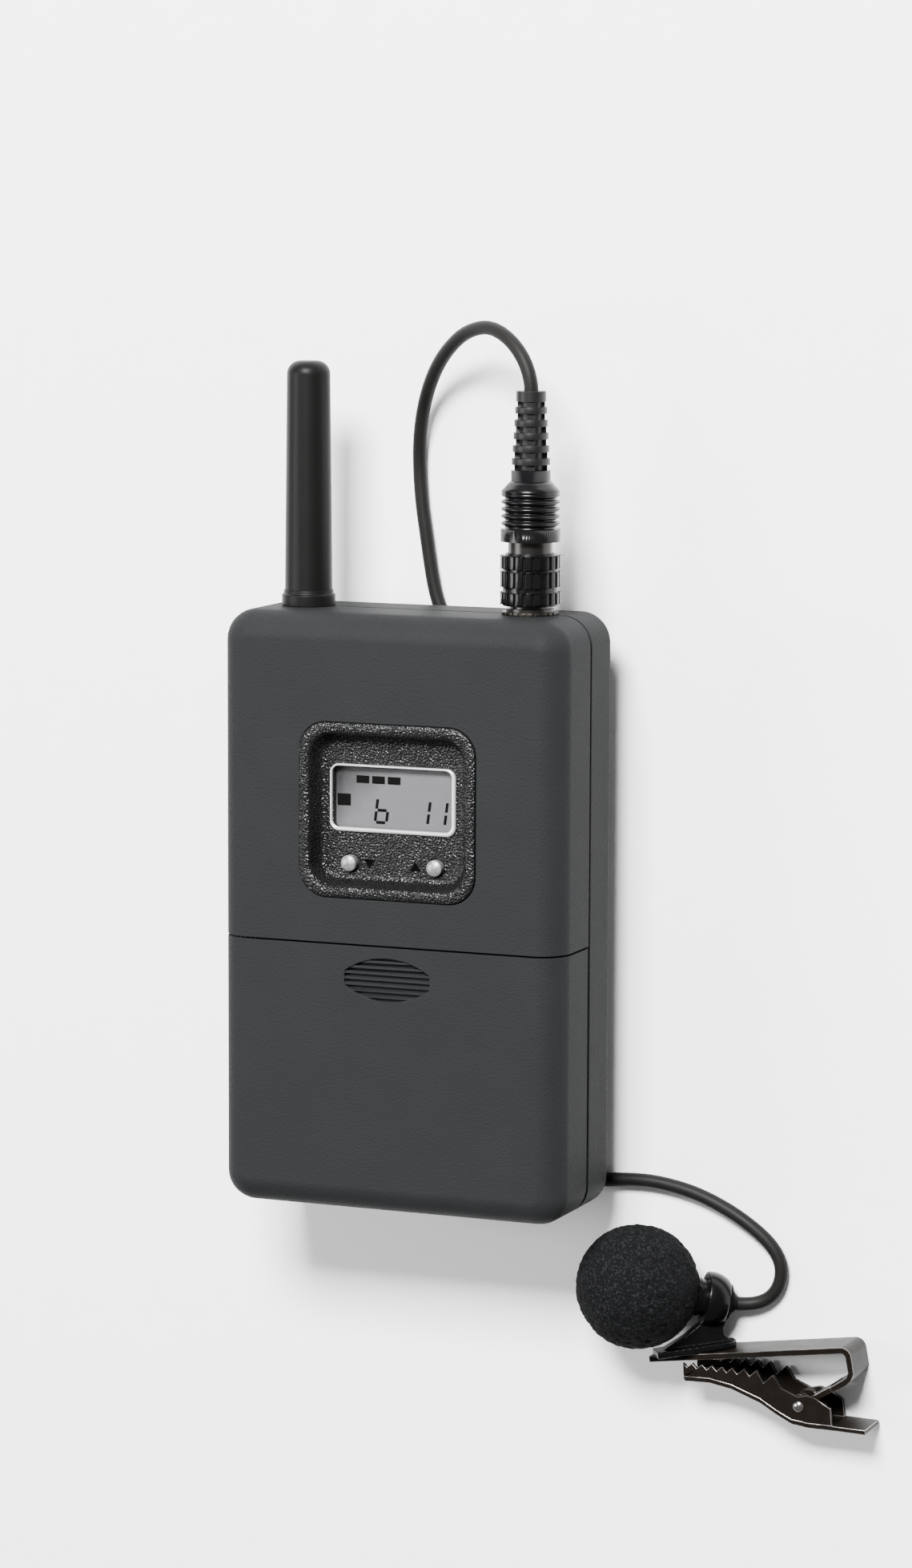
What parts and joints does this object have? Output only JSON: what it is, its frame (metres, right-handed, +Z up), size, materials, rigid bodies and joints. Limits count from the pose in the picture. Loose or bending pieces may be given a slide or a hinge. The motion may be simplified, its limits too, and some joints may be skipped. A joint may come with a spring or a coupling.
{
  "type": "lavalier microphone",
  "caption": "Foam-covered lavalier microphone on a sprung tie clip, with its thin cord plugged into a flat wireless body-pack transmitter with stub antenna, display and sliding battery door.",
  "frame": {"origin": "on the belt clip's flat outer face, under the middle of the body pack, which lies on that clip", "axes": "+Z up from the table, +Y from the battery end to the antenna end, +X to the side where the microphone plugs in"},
  "size_m": [0.105, 0.1793, 0.0325],
  "materials": {
    "case": "satin",
    "bezel": "satin",
    "display_rim": "satin",
    "window": "polished",
    "display": "satin",
    "display_mount": "moulded",
    "board": "satin",
    "electronics": "moulded",
    "tin_plate": "satin",
    "buttons": "satin",
    "knob": "moulded",
    "tray": "moulded",
    "cells": "gloss",
    "antenna_rubber": "satin",
    "copper": "bare",
    "bright_metal": "plated",
    "jack_metal": "anodised",
    "insulator": "moulded",
    "gold_pins": "plated",
    "plug_metal": "gloss",
    "boot_rubber": "satin",
    "cord_rubber": "satin",
    "tie": "satin",
    "mic_metal": "satin",
    "capsule": "satin",
    "foam": "open-cell foam",
    "holder": "satin",
    "clip_metal": "dark plated",
    "steel": "bright",
    "belt_clip": "satin",
    "screws": "zinc plated"
  },
  "bodies": {
    "pack": {"rear_case": "case", "front_case": "case", "display_bezel": "bezel", "display_frame": "display_rim", "display_window": "window", "display_panel": "display", "display_holder": "display_mount", "circuit_board": "board", "tact_switches": "electronics", "shield_can": "tin_plate", "board_chips": "electronics", "power_switch": "electronics", "battery_tray": "tray", "battery_cells": "cells", "cell_springs": "tin_plate", "cell_contacts": "tin_plate", "antenna_sleeve": "antenna_rubber", "antenna_collar": "antenna_rubber", "antenna_coil": "copper", "antenna_stud": "bright_metal", "antenna_nut": "bright_metal", "mic_jack_shell": "jack_metal", "mic_jack_insert": "insulator", "mic_jack_nut": "jack_metal", "belt_clip": "belt_clip", "belt_clip_screws": "screws", "case_screws": "screws", "board_screws": "screws"},
    "door": {"battery_door": "case"},
    "up_button": {"channel_up_button": "buttons"},
    "down_button": {"channel_down_button": "buttons"},
    "switch": {"power_knob": "knob"},
    "lavalier": {"plug_nose": "jack_metal", "plug_insert": "insulator", "plug_pins": "gold_pins", "plug_back_shell": "plug_metal", "strain_boot": "boot_rubber", "cord_loop": "cord_rubber", "cord_hank": "cord_rubber", "hank_tie": "tie", "cord_tail": "cord_rubber", "mic_housing": "mic_metal", "mic_capsule": "capsule", "mic_grille": "mic_metal", "mic_relief": "boot_rubber", "mic_holder": "holder", "swivel_rivet": "steel"},
    "locking_sleeve": {"lock_sleeve": "plug_metal"},
    "foam": {"windscreen": "foam"},
    "tie_clip": {"clip_arm": "clip_metal", "clip_pin": "steel", "clip_spring": "steel"},
    "jaw": {"clip_jaw": "clip_metal"}
  },
  "joints": [
    {"name": "door_slide", "type": "slide", "parent": "pack", "child": "door", "axis": [0, -1, 0], "range_m": [0, 0.046]},
    {"name": "up_press", "type": "slide", "parent": "pack", "child": "up_button", "axis": [0, 0, -1], "range_m": [0, 0.0003], "stiffness_N_per_m": 1500, "springref_m": -0.0002},
    {"name": "down_press", "type": "slide", "parent": "pack", "child": "down_button", "axis": [0, 0, -1], "range_m": [0, 0.0003], "stiffness_N_per_m": 1500, "springref_m": -0.0002},
    {"name": "power_slide", "type": "slide", "parent": "pack", "child": "switch", "axis": [0, 1, 0], "range_m": [0, 0.004]},
    {"name": "plug_pull", "type": "slide", "parent": "pack", "child": "lavalier", "axis": [0, 1, 0], "range_m": [0, 0.0065]},
    {"name": "sleeve_slide", "type": "slide", "parent": "lavalier", "child": "locking_sleeve", "axis": [0, 1, 0], "range_m": [0, 0.0016], "stiffness_N_per_m": 600, "springref_m": -0.001},
    {"name": "windscreen_pull", "type": "slide", "parent": "lavalier", "child": "foam", "axis": [0.8586, -0.1914, -0.4755], "range_m": [-0.0105, 0]},
    {"name": "clip_swivel", "type": "hinge", "parent": "lavalier", "child": "tie_clip", "pos_m": [0.0482, -0.0725, 0.00415], "axis": [-0.1392, 0.9903, 0], "continuous": true},
    {"name": "jaw_hinge", "type": "hinge", "parent": "tie_clip", "child": "jaw", "pos_m": [0.06289, -0.08003, 0.00415], "axis": [0, 0, 1], "range_deg": [0, 25], "stiffness_Nm_per_rad": 0.04, "springref_deg": -34.38}
  ]
}
